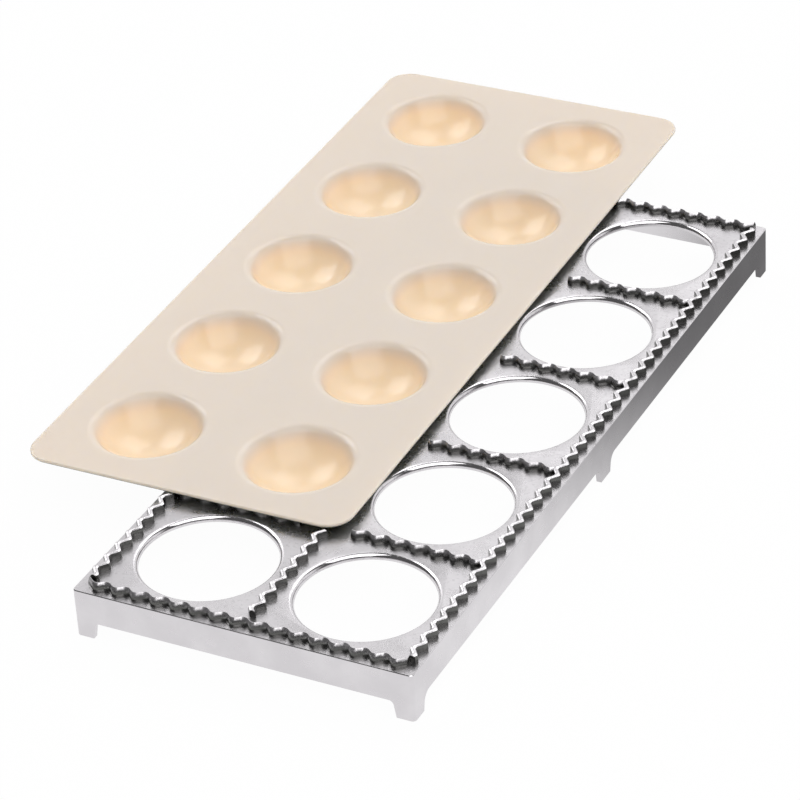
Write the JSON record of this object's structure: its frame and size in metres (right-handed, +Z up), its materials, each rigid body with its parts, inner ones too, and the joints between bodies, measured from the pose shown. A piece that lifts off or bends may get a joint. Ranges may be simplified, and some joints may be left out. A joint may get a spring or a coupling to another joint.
{
  "type": "ravioli mould with press tray",
  "caption": "Flat cast ravioli frame with two rows of round cells ringed by zigzag cutting ridges, and a thin bowl-shaped press tray lying across it",
  "frame": {"origin": "bottom centre of the bounding box of frame and tray together, on the table", "axes": "+Z up, +Y along the frame's long side towards the far end where the tray overhangs, +X across the frame towards its free row of cells"},
  "size_m": [0.193, 0.3794, 0.0237],
  "materials": {
    "cast_metal": "polished casting",
    "tray_plastic": "glossy, slightly translucent cream"
  },
  "bodies": {
    "root": {"ravioli_frame": "cast_metal", "press_tray": "tray_plastic"}
  },
  "joints": []
}
